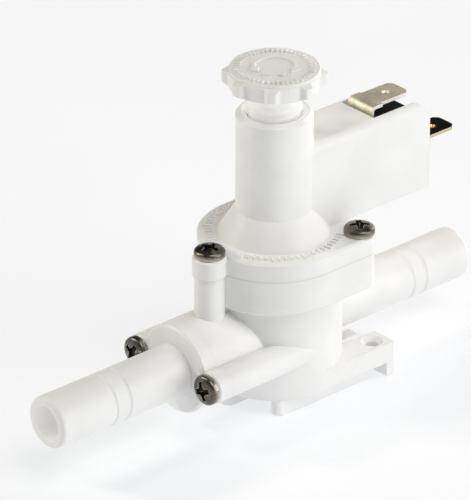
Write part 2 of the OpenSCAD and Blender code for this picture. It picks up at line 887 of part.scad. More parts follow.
// Bent corner of a strip that comes up along z and turns towards +X
module strip_bend(width, length) {
  rotate([90, 0, 0])
    translate([0, 0, -width / 2])
      linear_extrude(width)
        difference() {
          union() {
            translate([bend_r, -spade_t])
              square([length - bend_r, spade_t]);
            translate([0, snug - com_rise])
              square([spade_t, com_rise - snug - bend_r]);
            translate([bend_r, -bend_r])
              intersection() {
                circle(bend_r);
                translate([-bend_r, 0])
                  square(bend_r);
              }
          }
          translate([bend_r, -bend_r])
            circle(bend_r - spade_t);
        }
}

// Foot on the blade's roll, leg through the case and bent spade along the switch
module com_terminal() {
  leg_x = com_x - spade_t / 2;
  foot_z = blade_top + pivot_d / 2 + snug;
  color("silver") {
    translate([leg_x, -spade_w / 2, foot_z])
      cube([spade_t, spade_w, case_top + over - foot_z]);
    translate([leg_x, 0, com_top])
      strip_bend(shoulder_w, shoulder_len);
    translate([leg_x + bend_r, 0, com_top - spade_t])
      spade(com_len - bend_r);
  }
}

module end_terminal() {
  color("silver")
    translate([contact_x - contact_d / 2, 0, spade_z])
      spade(case_end + end_len - contact_x + contact_d / 2);
}

echo("least gap in check_spring", coil_gap(check_d, check_wire, check_len, check_turns));
echo("least gap in pressure_spring", coil_gap(spring_d, spring_wire, spring_len, spring_turns));
echo("least gap in return_spring", coil_gap(return_d, return_wire, return_len, return_turns));

valve_body();
inlet_stem();
inlet_o_ring();
inlet_screws();
check_poppet();
check_seal();
check_spring();
diaphragm();
piston();
pressure_spring();
spring_follower();
adjuster_knob();
cover();
cover_screws();
switch_case();
switch_lid();
switch_plunger();
contact_blade();
moving_contact();
fixed_contact();
return_spring();
com_terminal();
end_terminal();
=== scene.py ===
import math

import bmesh
import bpy
from mathutils import Matrix, Vector


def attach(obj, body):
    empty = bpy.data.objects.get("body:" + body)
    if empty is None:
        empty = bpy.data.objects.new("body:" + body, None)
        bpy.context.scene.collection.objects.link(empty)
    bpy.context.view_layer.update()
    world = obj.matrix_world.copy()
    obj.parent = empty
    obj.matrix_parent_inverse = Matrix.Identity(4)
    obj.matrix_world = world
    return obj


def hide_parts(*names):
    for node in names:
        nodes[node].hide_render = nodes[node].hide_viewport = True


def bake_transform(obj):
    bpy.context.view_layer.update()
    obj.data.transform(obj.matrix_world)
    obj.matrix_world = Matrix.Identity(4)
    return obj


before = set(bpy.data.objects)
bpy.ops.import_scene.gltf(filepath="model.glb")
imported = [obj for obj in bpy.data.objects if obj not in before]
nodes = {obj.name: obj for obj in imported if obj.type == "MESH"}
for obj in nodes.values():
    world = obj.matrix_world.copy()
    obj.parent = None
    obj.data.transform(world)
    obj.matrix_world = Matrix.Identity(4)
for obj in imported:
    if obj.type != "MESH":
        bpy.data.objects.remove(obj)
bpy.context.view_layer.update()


# Camera
# A long lens far off, swung round to the inlet side and looking down on the
# fitting, so that both stems, the tower and the switch housing are in view.
# Sizes are in millimetres and angles in degrees all through the file.
MM = 0.001
PHOTO_LONG_SIDE = 500
LENS_IN_PIXELS = 5038
SENSOR = 36.0
SWING = math.radians(41.5)
DROP = math.radians(27.6)
FLANGE_FACE = Vector((0.0, 0.0, 38.5))
DISTANCE = 1100.0
FLANGE_RIGHT_OF_MIDDLE = 38.5 / LENS_IN_PIXELS
FLANGE_ABOVE_MIDDLE = 20.9 / LENS_IN_PIXELS

right = Vector((math.cos(SWING), -math.sin(SWING), 0.0))
up = Vector((math.sin(SWING) * math.sin(DROP), math.cos(SWING) * math.sin(DROP), math.cos(DROP)))
back = right.cross(up)
lens = bpy.data.cameras.new("studio_lens")
lens.sensor_width = SENSOR
lens.lens = LENS_IN_PIXELS * SENSOR / PHOTO_LONG_SIDE
camera = bpy.data.objects.new("studio_camera", lens)
sight = right * FLANGE_RIGHT_OF_MIDDLE + up * FLANGE_ABOVE_MIDDLE - back
camera.matrix_world = Matrix.Translation((FLANGE_FACE - sight * DISTANCE) * MM) @ Matrix(
    (right, up, back)
).transposed().to_4x4()
bpy.context.collection.objects.link(camera)
bpy.context.scene.camera = camera


# Valve body
# The lower moulding: inlet barrel, pressure chamber, skirt, outlet stem, ribs
# and foot arms in one piece. It is injection moulded in white acetal, satin
# from the mould, with small radii on its edges.
class Socket:
    """One output of a finish's nodes. Sums on it add Math nodes."""

    def __init__(self, tree, output):
        self.tree = tree
        self.output = output

    def node(self, kind, settings=None, sockets=None, output=0):
        made = self.tree.nodes.new(kind)
        for name, value in (settings or {}).items():
            setattr(made, name, value)
        for name, value in (sockets or {}).items():
            if isinstance(value, Socket):
                self.tree.links.new(value.output, made.inputs[name])
            else:
                made.inputs[name].default_value = value
        return Socket(self.tree, made.outputs[output])

    def sum(self, operation, first, second=0.0):
        return self.node("ShaderNodeMath", {"operation": operation}, {0: first, 1: second})

    def __add__(self, other):
        return self.sum("ADD", self, other)

    def __radd__(self, other):
        return self.sum("ADD", other, self)

    def __sub__(self, other):
        return self.sum("SUBTRACT", self, other)

    def __rsub__(self, other):
        return self.sum("SUBTRACT", other, self)

    def __mul__(self, other):
        return self.sum("MULTIPLY", self, other)

    def __rmul__(self, other):
        return self.sum("MULTIPLY", other, self)

    def axis(self, which):
        """One coordinate of a place, in millimetres."""
        return self.node("ShaderNodeSeparateXYZ", None, {0: self}, which) * (1 / MM)

    def reach(self, other):
        """The length of two coordinates taken together."""
        return self.sum("SQRT", self * self + other * other)

    def noise(self, size, detail):
        """Cloudy noise, size millimetres from patch to patch."""
        sockets = {"Vector": self, "Scale": 1 / (size * MM), "Detail": detail}
        return self.node("ShaderNodeTexNoise", None, sockets)

    def stretched(self, x, y, z):
        """The same place with each axis multiplied."""
        sockets = {0: self, 1: (x, y, z)}
        return self.node("ShaderNodeVectorMath", {"operation": "MULTIPLY"}, sockets)

    def step(self, low, high):
        """0 below low, 1 above high, smooth between them."""
        sockets = {"Value": self, "From Min": low, "From Max": high}
        return self.node("ShaderNodeMapRange", {"interpolation_type": "SMOOTHSTEP"}, sockets)

    def tint(self, dark, light):
        """A colour that goes from dark at 0 to light at 1."""
        sockets = {0: self, 6: (*dark, 1.0), 7: (*light, 1.0)}
        return self.node("ShaderNodeMix", {"data_type": "RGBA"}, sockets, 2)

    def faded(self, share, colour):
        """This colour, turned to another one by a share."""
        sockets = {0: share, 6: self, 7: (*colour, 1.0)}
        return self.node("ShaderNodeMix", {"data_type": "RGBA"}, sockets, 2)

    def feeds(self, shader, socket):
        self.tree.links.new(self.output, shader.inputs[socket])


def new_finish(name, fixed):
    """A material with its fixed values set, and the place on the piece."""
    finish = bpy.data.materials.new(name)
    finish.use_nodes = True
    tree = finish.node_tree
    shader = tree.nodes["Principled BSDF"]
    for socket, value in fixed.items():
        shader.inputs[socket].default_value = value
    place = Socket(tree, tree.nodes.new("ShaderNodeTexCoord").outputs["Object"])
    return finish, shader, place


def soft_edges(place, radius):
    """A normal that rounds the edges of a piece."""
    return place.node("ShaderNodeBevel", {"samples": 6}, {"Radius": radius * MM})


def rough_skin(shader, normal, height, depth, strength):
    """Press a fine texture into a surface."""
    sockets = {"Height": height, "Distance": depth * MM, "Strength": strength, "Normal": normal}
    normal.node("ShaderNodeBump", None, sockets).feeds(shader, "Normal")


def moulded_plastic(name, fixed, dark, light, gloss, edge, skin):
    """Plastic from a mould: faint flow clouds, a fine eroded skin, soft edges."""
    finish, shader, place = new_finish(name, fixed)
    flow = place.noise(size=9.0, detail=3.0)
    pores = place.noise(size=0.22, detail=2.0)
    flow.step(low=0.3, high=0.7).tint(dark, light).feeds(shader, "Base Color")
    (gloss + 0.10 * flow + 0.06 * pores).feeds(shader, "Roughness")
    rough_skin(shader, soft_edges(place, edge), pores, depth=0.02, strength=skin)
    return finish


def recolour(finish, where, colour):
    """Fade a finish to another colour where a rule on the place says so."""
    shader = finish.node_tree.nodes["Principled BSDF"]
    plain = Socket(finish.node_tree, shader.inputs["Base Color"].links[0].from_socket)
    place = plain.node("ShaderNodeTexCoord", None, None, "Object")
    plain.faded(where(place), colour).feeds(shader, "Base Color")


def dress(finish, *names):
    """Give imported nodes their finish."""
    for name in names:
        slots = nodes[name].data.materials
        slots.clear()
        slots.append(finish)


SEAM_Z = 34.1
SEAM_HALF = 0.08
SEAM_SOFT = 0.1
SEAM_SHADE_GREY = (0.76, 0.75, 0.73)
MILKY = {
    "IOR": 1.48,
    "Subsurface Weight": 0.1,
    "Subsurface Radius": (1.0, 0.96, 0.9),
    "Subsurface Scale": 0.0012,
}
ACETAL = {
    "fixed": MILKY,
    "dark": (0.86, 0.86, 0.85),
    "light": (0.90, 0.90, 0.89),
    "gloss": 0.32,
    "edge": 0.12,
    "skin": 0.12,
}

white_plastic = moulded_plastic("white_acetal", **ACETAL)
# Painted shade: a thin darker line all round at the seam height, where cover and body meet.
recolour(
    white_plastic,
    lambda place: 1 - place.sum("ABSOLUTE", place.axis(2) - SEAM_Z).step(
        SEAM_HALF, SEAM_HALF + SEAM_SOFT
    ),
    SEAM_SHADE_GREY,
)
dress(white_plastic, "valve_body")


# Check valve
# A moulded disc on a guide stem, with a rubber washer held on its hub and a
# fine stainless spring that pushes it to the inlet. It drops into the barrel
# before the inlet stem closes it.
FULL_TURN = 2 * math.pi
CREASE = math.radians(38)
SPRING_SIDES = 12
SPRING_STEPS = 36
DEAD_TURNS = 0.8


def add_piece(name, points, faces, finish):
    """A closed mesh from points in millimetres, smooth but for its creases."""
    mesh = bpy.data.meshes.new(name)
    mesh.from_pydata([Vector(point) * MM for point in points], [], faces)
    shape = bmesh.new()
    shape.from_mesh(mesh)
    bmesh.ops.recalc_face_normals(shape, faces=shape.faces)
    for face in shape.faces:
        face.smooth = True
    for line in shape.edges:
        line.smooth = line.calc_face_angle(0.0) < CREASE
    shape.to_mesh(mesh)
    shape.free()
    mesh.materials.append(finish)
    piece = bpy.data.objects.new(name, mesh)
    bpy.context.collection.objects.link(piece)
    return piece


def skin_rings(rings):
    """Faces over a stack of rings with equal counts, flat at both ends."""
    count = len(rings[0])
    points = [point for ring in rings for point in ring]
    faces = [tuple(range(count)), tuple(range(len(points) - count, len(points)))]
    for level in range(len(rings) - 1):
        for i in range(count):
            a = level * count + i
            b = level * count + (i + 1) % count
            faces.append((a, b, b + count, a + count))
    return points, faces


def coil_rings(start, end, mean_d, wire, turns, first, last):
    """Rings round the wire of a spring, from the share first to the share last."""
    axis = (end - start).normalized()
    side = axis.orthogonal().normalized()
    other = axis.cross(side)
    height = (end - start).length - wire
    live = turns - 2 * DEAD_TURNS
    pitch = (height - 2 * DEAD_TURNS * wire) / live
    rings = []
    low = round(first * turns * SPRING_STEPS)
    high = round(last * turns * SPRING_STEPS)
    for i in range(low, high + 1):
        turn = i / SPRING_STEPS
        rise = wire / 2 + wire * min(turn, DEAD_TURNS)
        rise += pitch * min(max(turn - DEAD_TURNS, 0), live)
        rise += wire * max(turn - DEAD_TURNS - live, 0)
        angle = FULL_TURN * turn
        outward = side * math.cos(angle) + other * math.sin(angle)
        middle = start + axis * rise + outward * mean_d / 2
        rings.append([
            middle + (outward * math.cos(a) + axis * math.sin(a)) * wire / 2
            for a in (FULL_TURN * k / SPRING_SIDES for k in range(SPRING_SIDES))
        ])
    return rings


def drawn_wire(name, dark, light, gloss):
    """Bright drawn wire with fine streaks."""
    finish, shader, place = new_finish(name, {"Metallic": 1.0})
    streaks = place.noise(size=0.35, detail=4.0)
    streaks.step(low=0.25, high=0.75).tint(dark, light).feeds(shader, "Base Color")
    (gloss + 0.16 * streaks).feeds(shader, "Roughness")
    rough_skin(shader, soft_edges(place, radius=0.05), streaks, depth=0.01, strength=0.2)
    return finish


def moulded_rubber(name, dark, light):
    """Matt rubber with a dusty bloom."""
    finish, shader, place = new_finish(name, {"IOR": 1.5, "Specular IOR Level": 0.3})
    bloom = place.noise(size=1.6, detail=4.0)
    grain = place.noise(size=0.12, detail=2.0)
    bloom.step(low=0.3, high=0.75).tint(dark, light).feeds(shader, "Base Color")
    (0.55 + 0.2 * bloom + 0.08 * grain).feeds(shader, "Roughness")
    rough_skin(shader, soft_edges(place, radius=0.12), grain, depth=0.02, strength=0.3)
    return finish


PIPE_Z = 14.2
CHECK_SPRING = {
    "start": Vector((-13.1, 0, PIPE_Z)), "end": Vector((-18.4, 0, PIPE_Z)),
    "mean_d": 5.4, "wire": 0.6, "turns": 4,
}

inner_plastic = moulded_plastic(
    "ivory_acetal", MILKY, dark=(0.72, 0.70, 0.64), light=(0.79, 0.77, 0.71), gloss=0.32, edge=0.2, skin=0.15,
)
rubber = moulded_rubber("black_rubber", dark=(0.012, 0.012, 0.013), light=(0.035, 0.034, 0.034))
spring_steel = drawn_wire("stainless_wire", dark=(0.42, 0.41, 0.40), light=(0.62, 0.61, 0.60), gloss=0.2)
dress(inner_plastic, "check_poppet")
dress(rubber, "check_seal")
rings = coil_rings(**CHECK_SPRING, first=0, last=1)
check_spring = add_piece("check_spring_wire", *skin_rings(rings), spring_steel)
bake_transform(check_spring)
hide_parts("check_spring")


# Inlet stem
# A push-fit stem with a round coupling plate and two screw ears, moulded in
# the same white acetal. Its spigot carries an O-ring and seals in the barrel.
# Painted light for thin walls: a whiter colour and a faint glow, over real subsurface scattering.
THIN_WALL_PAINTED_LIGHT = {
    "Base Color": (0.97, 0.965, 0.945, 1.0),
    "Roughness": 0.4,
    "IOR": 1.48,
    "Subsurface Weight": 1.0,
    "Subsurface Radius": (1.0, 0.97, 0.92),
    "Subsurface Scale": 0.009,
    "Emission Color": (1.0, 0.98, 0.94, 1.0),
}
BORE_PAINTED_GLOW = 0.02
BORE_R = 4.0
BORE_SOFT = 0.15


def paint_thin_wall_light(finish, where, painted_glow):
    """Where a wall is thin, mix in a fully subsurface shader: light wanders through the wall, and its whiter
    colour and faint emission are painted light.
    """
    tree = finish.node_tree
    place = Socket(tree, tree.nodes.new("ShaderNodeTexCoord").outputs["Object"])
    thin = place.node("ShaderNodeBsdfPrincipled", None, {**THIN_WALL_PAINTED_LIGHT, "Emission Strength": painted_glow})
    thick = Socket(tree, tree.nodes["Principled BSDF"].outputs[0])
    both = place.node("ShaderNodeMixShader", None, {0: where(place), 1: thick, 2: thin})
    both.feeds(tree.nodes["Material Output"], "Surface")


stem_plastic = moulded_plastic("white_stem_acetal", **ACETAL)
# Inside the bore the plastic is painted whiter with a faint painted glow.
paint_thin_wall_light(
    stem_plastic,
    lambda place: 1 - place.axis(1).reach(place.axis(2) - PIPE_Z).step(BORE_R, BORE_R + BORE_SOFT),
    BORE_PAINTED_GLOW,
)
dress(stem_plastic, "inlet_stem")
dress(rubber, "inlet_o_ring")


# Inlet screws
# Two thread-forming screws for plastic with domed pan heads and a cross
# recess. They are cold-headed steel with a dark nickel plating. The edges of
# the recess and the rim are lighter, partly bare metal and partly painted
# highlight. The faces deep in the recess are near black as painted shade.
HEAD_R = 3.45
HEAD_H = 2.4
HEAD_DOME = 6.5
HEAD_ROUND = 0.8
HEAD_MIDDLE_R = 0.05
SEAT_ROUND = 0.14
CREST_R = 1.6
ROOT_R = 1.2
SCREW_PITCH = 1.35
FLANK_RISE = 1.45
FLANK_FROM = 0.28
RUN_IN = 0.8
POINT_LEN = 1.6
POINT_SHARE = 0.5
RECESS_REACH = 2.25
RECESS_HALF = 0.82
RECESS_TAPER = 0.12
RECESS_MIDDLE = 1.2
RECESS_DEEP = 1.5
RECESS_FLOOR = 0.5
RECESS_WALL = 3.5
RECESS_LIP = 0.12
SCREW_SIDES = 128
HEAD_RINGS = 46
SHOULDER_RINGS = 7
THREAD_STEPS = 9


def round_ring(radius, height, sides=SCREW_SIDES):
    """A level ring round the Z axis. The radius is a number or a rule."""
    ring = []
    for i in range(sides):
        angle = FULL_TURN * i / sides
        r = radius(angle) if callable(radius) else radius
        ring.append(Vector((r * math.cos(angle), r * math.sin(angle), height)))
    return ring


def recess_depth(x, y):
    """Depth of the cross recess under the dome at a point of the head."""
    x, y = abs(x), abs(y)
    narrow = RECESS_HALF * (1 - RECESS_TAPER * max(x, y))
    inside = max(
        min(RECESS_REACH - x, narrow - y),
        min(RECESS_REACH - y, narrow - x),
        RECESS_MIDDLE - math.hypot(x, y),
    )
    floor = RECESS_DEEP - RECESS_FLOOR * math.hypot(x, y)
    return max(0.0, min(inside * RECESS_WALL, floor))


def screw_head():
    """Rings over the head, from the middle of the recess to the seat."""
    rings = []
    dome_foot = HEAD_H - HEAD_DOME
    inset = HEAD_R - HEAD_ROUND
    lean = math.asin(inset / (HEAD_DOME - HEAD_ROUND))
    dome_reach = HEAD_DOME * math.sin(lean) - HEAD_MIDDLE_R
    for i in range(HEAD_RINGS):
        r = HEAD_MIDDLE_R + dome_reach * i / (HEAD_RINGS - 1)
        ring = round_ring(r, dome_foot + math.sqrt(HEAD_DOME ** 2 - r * r))
        for point in ring:
            point.z -= recess_depth(point.x, point.y)
        rings.append(ring)
    middle = dome_foot + (HEAD_DOME - HEAD_ROUND) * math.cos(lean)
    for i in range(1, SHOULDER_RINGS + 1):
        turn = lean + (math.pi / 2 - lean) * i / SHOULDER_RINGS
        r = inset + HEAD_ROUND * math.sin(turn)
        rings.append(round_ring(r, middle + HEAD_ROUND * math.cos(turn)))
    rings.append(round_ring(HEAD_R, SEAT_ROUND))
    rings.append(round_ring(HEAD_R - SEAT_ROUND, 0.0))
    return rings


def thread_radius(crest, root, pitch, height, angle):
    """Radius of a right-hand thread: flanks, narrow crest, round root."""
    phase = (height / pitch - angle / FULL_TURN) % 1.0
    flank = 1 - abs(2 * phase - 1)
    return root + (crest - root) * min(1.0, max(0.0, FLANK_RISE * flank - FLANK_FROM))


def screw_shank(length):
    """Rings down the threaded shank to its blunt point."""
    rings = [round_ring(ROOT_R, 0.0)]
    steps = math.ceil(length / SCREW_PITCH * THREAD_STEPS)
    for i in range(1, steps + 1):
        height = -length * i / steps
        fade = min(1.0, (length + height) / POINT_LEN)
        start = min(1.0, -height / RUN_IN)
        taper = POINT_SHARE + (1 - POINT_SHARE) * fade
        rings.append(round_ring(
            lambda angle: taper * (
                ROOT_R + start * (thread_radius(CREST_R, ROOT_R, SCREW_PITCH, height, angle) - ROOT_R)
            ),
            height,
        ))
    return rings


def add_screw(name, node, length, seat, way, twist):
    """One screw with its seat at a point and its head towards way."""
    turn = Vector(way).to_track_quat("Z", "Y").to_matrix() @ Matrix.Rotation(math.radians(twist), 3, "Z")
    points, faces = skin_rings(screw_head() + screw_shank(length))
    piece = add_piece(name, [Vector(seat) + turn @ point for point in points], faces, screw_steel)
    # The faces deep in the cross recess take the second finish, near black as painted shade.
    piece.data.materials.append(recess_shade_steel)
    sunk = [point.z > 0 and recess_depth(point.x, point.y) > RECESS_LIP for point in points]
    for face in piece.data.polygons:
        face.material_index = int(all(sunk[i] for i in face.vertices))
    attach(piece, "housing")
    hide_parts(node)


def plated_steel(name, dark, light, bare_and_highlight, gloss):
    """Stained plating, lighter on its edges: partly rubbed bare, partly painted highlight."""
    finish, shader, place = new_finish(name, {"Metallic": 1.0})
    stain = place.noise(size=0.9, detail=4.0)
    grain = place.noise(size=0.16, detail=3.0)
    sharp = place.node("ShaderNodeNewGeometry", None, None, "Pointiness")
    # Convex edges get a lighter colour: partly bare metal rubbed through, partly painted highlight.
    rubbed_and_highlight = sharp.step(low=0.505, high=0.56) * grain.step(low=0.25, high=0.6)
    plating = stain.step(low=0.3, high=0.7).tint(dark, light)
    plating.faded(rubbed_and_highlight, bare_and_highlight).feeds(shader, "Base Color")
    (gloss + 0.16 * stain + 0.08 * grain).feeds(shader, "Roughness")
    rough_skin(shader, soft_edges(place, radius=0.06), grain, depth=0.02, strength=0.25)
    return finish


INLET_SEAT_X = -29.1
INLET_SCREW_Y = 11.6
INLET_SCREW_LEN = 10.0

screw_steel = plated_steel(
    "dark_nickel",
    dark=(0.085, 0.077, 0.066), light=(0.165, 0.149, 0.125), bare_and_highlight=(0.60, 0.55, 0.45), gloss=0.22,
)
# Near-black finish for the faces deep in the cross recess: painted shade.
recess_shade_steel = plated_steel(
    "painted_shade_recess",
    dark=(0.010, 0.009, 0.008), light=(0.028, 0.025, 0.021), bare_and_highlight=(0.20, 0.18, 0.15), gloss=0.3,
)
for name, side, twist in (("inlet_screw_front", -1, 20), ("inlet_screw_back", 1, 62)):
    seat = (INLET_SEAT_X, side * INLET_SCREW_Y, PIPE_Z)
    add_screw(name, "inlet_screws", INLET_SCREW_LEN, seat, (-1, 0, 0), twist)


# Diaphragm and pressure plate
# A cloth-reinforced rubber diaphragm, clamped between body and cover, with
# one roll inside the chamber wall. The moulded pressure plate stands on it
# and carries the striker arm that reaches under the switch.
dress(rubber, "diaphragm")
dress(inner_plastic, "piston")


# Pressure spring
# A stainless compression spring with closed ends, between the pressure plate
# and the follower that the knob pushes down. The follower is a moulded disc
# with a pilot.
PRESSURE_SPRING = {
    "start": Vector((0, 0, 37.25)), "end": Vector((0, 0, 55.7)),
    "mean_d": 10.0, "wire": 1.4, "turns": 7,
}
LOWER_SHARE = 0.3

dress(inner_plastic, "spring_follower")
for name, body, first, last, end in (
    ("pressure_spring_lower", "pressure_plate", 0, LOWER_SHARE, PRESSURE_SPRING["start"]),
    ("pressure_spring_upper", "follower", LOWER_SHARE, 1, PRESSURE_SPRING["end"]),
):
    rings = coil_rings(**PRESSURE_SPRING, first=first, last=last)
    spring = add_piece(name, *skin_rings(rings), spring_steel)
    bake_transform(spring)
    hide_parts("pressure_spring")


# Cover
# The upper moulding: flange, spring tower with its cone, and the housing for
# the switch. White acetal like the body. Low raised strokes stand round the
# flange as a plain scale.
RIM_Z = 66.6
RIM_R = 7.0
RIM_SOFT = 0.6
RIM_PAINTED_GLOW = 0.09
SCALE_IN = 13.7
SCALE_OUT = 15.6
SCALE_FOOT = 38.3
SCALE_TOP = 38.95
SCALE_STEP = 5.4
SCALE_LONG_EVERY = 5
SCALE_SHORTER = 0.5
SCALE_REAR_GAP = 17.0
SCALE_FRONT_GAP = 52.0
STROKE_HALF = 0.24
STROKE_DRAFT = 0.09
STROKE_LEAST = 0.02


def raised_strip(points, faces, path, halves, foot, top):
    """A low raised line along a level path, half widths given point by point."""
    base = len(points)
    last = len(path) - 1
    for i, here in enumerate(path):
        ahead = path[min(i + 1, last)] - path[max(i - 1, 0)]
        across = Vector((-ahead.y, ahead.x)).normalized()
        crest = max(halves[i] - STROKE_DRAFT, STROKE_LEAST)
        for width, height in ((halves[i], foot), (halves[i], top - STROKE_DRAFT), (crest, top)):
            for sign in (1, -1):
                spot = here + across * width * sign
                points.append(Vector((spot.x, spot.y, height)))
    ring = (0, 2, 4, 5, 3, 1)
    count = len(ring)
    for i in range(last):
        for k in range(count):
            a = base + count * i + ring[k]
            b = base + count * i + ring[(k + 1) % count]
            faces.append((a, b, b + count, a + count))
    faces.append(tuple(base + k for k in ring))
    faces.append(tuple(base + count * last + k for k in ring))


def level_point(radius, angle):
    """A point on a level circle, the angle in degrees from +X."""
    return Vector((radius * math.cos(math.radians(angle)), radius * math.sin(math.radians(angle))))


# Round the tower's mouth the plastic is painted whiter with a faint painted glow.
paint_thin_wall_light(
    white_plastic,
    lambda place: place.axis(2).step(RIM_Z - RIM_SOFT, RIM_Z)
    * (1 - place.axis(0).reach(place.axis(1)).step(RIM_R, RIM_R + RIM_SOFT)),
    RIM_PAINTED_GLOW,
)
dress(white_plastic, "cover")
points, faces = [], []
angle = SCALE_FRONT_GAP
count = 0
while angle <= 180 - SCALE_REAR_GAP:
    reach = SCALE_OUT if count % SCALE_LONG_EVERY == 0 else SCALE_OUT - SCALE_SHORTER
    for side in (1, -1):
        path = [level_point(SCALE_IN, side * angle), level_point(reach, side * angle)]
        raised_strip(points, faces, path, [STROKE_HALF] * 2, SCALE_FOOT, SCALE_TOP)
    angle += SCALE_STEP
    count += 1
scale_strokes = add_piece("flange_scale_strokes", points, faces, white_plastic)
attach(scale_strokes, "housing")


# Cover screws
# Three longer screws of the same kind clamp cover, diaphragm and body: two at
# the flange's corners and one in the column over the inlet barrel.
COVER_SEAT_Z = 38.5
COVER_SCREW_LEN = 11.5

for name, x, y, twist in (
    ("cover_screw_rear", -18.7, 0.0, 15),
    ("cover_screw_front", 12.8, -13.6, 55),
    ("cover_screw_far", 12.8, 13.6, 34),
):
    add_screw(name, "cover_screws", COVER_SCREW_LEN, (x, y, COVER_SEAT_Z), (0, 0, 1), twist)


# Adjusting knob
# An eight-lobed knob with a coarse threaded shank, moulded in one piece of the
# same white plastic. Its face carries a raised ring of strokes, a turn arrow
# and a plus and a minus sign.
KNOB_FOOT = 73.6
KNOB_R = 11.5
KNOB_ROOT_R = 10.1
KNOB_T = 4.1
FACE_R = 9.9
FACE_ROUND = 0.25
FACE_RINGS = (0.4, 3.0, 6.0, 8.5)
RIM_H = 0.6
LOBES = 8
LOBE_ROOT_W = 3.5
LOBE_END_W = 1.2
LOBE_FULL_Z = 0.8
LOBE_DROP = 1.1
LOBE_ROUND = 0.2
LOBE_SWEEP = 1.3
LOBE_SHARP = 14.0
FOOT_EDGE = 0.1
KNOB_ANGLE = math.radians(-135)
KNOB_SIDES = 360
EDGE_RINGS = 6
SHANK_CREST = 6.08
SHANK_ROOT = 5.65
SHANK_PAINTED_LIGHT_SHARE = 0.85
SHANK_PITCH = 2.0
SHANK_LEN = 15.3
SHANK_STEPS = 12
SHANK_LEAD = 0.3
SHANK_FILLET = 0.5
SHANK_FILLET_DROP = 0.3
SHANK_RUN_IN = 0.8
SHANK_RUN_OUT = 0.9
MARK_FOOT = KNOB_FOOT + KNOB_T - 0.1
MARK_TOP = KNOB_FOOT + KNOB_T + 0.4
STROKE_COUNT = 48
STROKE_LONG_EVERY = 4
STROKE_HALF_W = 0.22
STROKE_IN = 7.5
STROKE_OUT = 8.7
STROKE_LONG_OUT = 9.1
ARC_R = 4.6
ARC_HALF_TURN = 132
ARC_STEP = 4
ARC_HALF_W = 0.4
HEAD_HALF_W = 1.15
HEAD_TIP_HALF_W = 0.03
HEAD_POINTS = 7
MARKS_FACE = -131
SIGN_SWING = 22
SIGN_HALF = 0.95
SIGN_HALF_W = 0.3
SIGN_LAP = 0.02


def lesser(a, b):
    """The smaller of two lengths with the corner between them rounded."""
    low = min(a, b)
    return low - math.log(math.exp(-LOBE_SHARP * (a - low)) + math.exp(-LOBE_SHARP * (b - low))) / LOBE_SHARP


def lobe_radius(angle):
    """Radius of the outline in a direction: a round knob with ridge-like lobes."""
    pitch = FULL_TURN / LOBES
    offset = (angle - KNOB_ANGLE + pitch / 2) % pitch - pitch / 2
    across = abs(KNOB_ROOT_R * math.sin(offset))
    share = (LOBE_ROOT_W / 2 - across) / (LOBE_ROOT_W / 2 - LOBE_END_W / 2)
    share = min(1.0, max(0.0, share))
    return KNOB_ROOT_R + (KNOB_R - KNOB_ROOT_R) * share * share * (3 - 2 * share)


def knob_edge():
    """Reach and height of the turned edge, from the face to the underside."""
    top = KNOB_T - LOBE_DROP
    edge = []
    for i in range(EDGE_RINGS + 1):
        turn = math.pi / 2 * i / EDGE_RINGS
        reach = FACE_R - FACE_ROUND * (1 - math.sin(turn))
        edge.append((reach, KNOB_T - FACE_ROUND * (1 - math.cos(turn))))
    for i in range(EDGE_RINGS + 1):
        share = i / EDGE_RINGS
        reach = FACE_R + (KNOB_R - LOBE_ROUND - FACE_R) * share
        edge.append((reach, KNOB_T - RIM_H - (LOBE_DROP - RIM_H) * share))
    for i in range(1, EDGE_RINGS + 1):
        turn = math.pi / 2 * i / EDGE_RINGS
        reach = KNOB_R - LOBE_ROUND * (1 - math.sin(turn))
        edge.append((reach, top - LOBE_ROUND * (1 - math.cos(turn))))
    edge.append((KNOB_R, KNOB_T / 2))
    for i in range(EDGE_RINGS + 1):
        share = i / EDGE_RINGS
        reach = KNOB_R - (KNOB_R - KNOB_ROOT_R) * share ** LOBE_SWEEP
        edge.append((reach, LOBE_FULL_Z * (1 - share) + FOOT_EDGE * share))
    edge.append((KNOB_ROOT_R - FOOT_EDGE, 0.0))
    return edge


def knob_rings():
    """Rings from the middle of the face over the lobes and down the shank."""
    rings = [round_ring(r, KNOB_T, KNOB_SIDES) for r in FACE_RINGS]
    for reach, height in knob_edge():
        rings.append(round_ring(lambda a: lesser(lobe_radius(a), reach), height, KNOB_SIDES))
    for i in range(EDGE_RINGS + 1):
        turn = math.pi / 2 * i / EDGE_RINGS
        r = SHANK_ROOT + SHANK_FILLET * (1 - math.sin(turn))
        rings.append(round_ring(r, SHANK_FILLET_DROP * (math.cos(turn) - 1), KNOB_SIDES))
    steps = math.ceil(SHANK_LEN / SHANK_PITCH * SHANK_STEPS)
    for i in range(1, steps + 1):
        height = -SHANK_LEAD - (SHANK_LEN - SHANK_LEAD) * i / steps
        fade = min(1.0, (SHANK_LEN + height) / SHANK_RUN_OUT, (-height - SHANK_LEAD) / SHANK_RUN_IN)
        rings.append(round_ring(
            lambda a: SHANK_ROOT + fade * (
                thread_radius(SHANK_CREST, SHANK_ROOT, SHANK_PITCH, height, a) - SHANK_ROOT
            ),
            height, KNOB_SIDES,
        ))
    return rings


knob_plastic = moulded_plastic(
    "white_knob_plastic", MILKY,
    dark=(0.85, 0.85, 0.84), light=(0.89, 0.89, 0.88), gloss=0.34, edge=0.1, skin=0.14,
)
# Down the shank the plastic is painted whiter with a faint painted glow, lifting the shade under the knob.
paint_thin_wall_light(
    knob_plastic,
    lambda place: SHANK_PAINTED_LIGHT_SHARE * (1 - place.axis(2).step(KNOB_FOOT - SHANK_FILLET, KNOB_FOOT)),
    RIM_PAINTED_GLOW,
)
points, faces = skin_rings(knob_rings())
points = [point + Vector((0, 0, KNOB_FOOT)) for point in points]
knob = add_piece("adjuster_knob_body", points, faces, knob_plastic)
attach(knob, "knob")
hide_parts("adjuster_knob")

points, faces = [], []


def knob_mark(path, halves):
    """One raised line on the face of the knob."""
    raised_strip(points, faces, path, halves, MARK_FOOT, MARK_TOP)


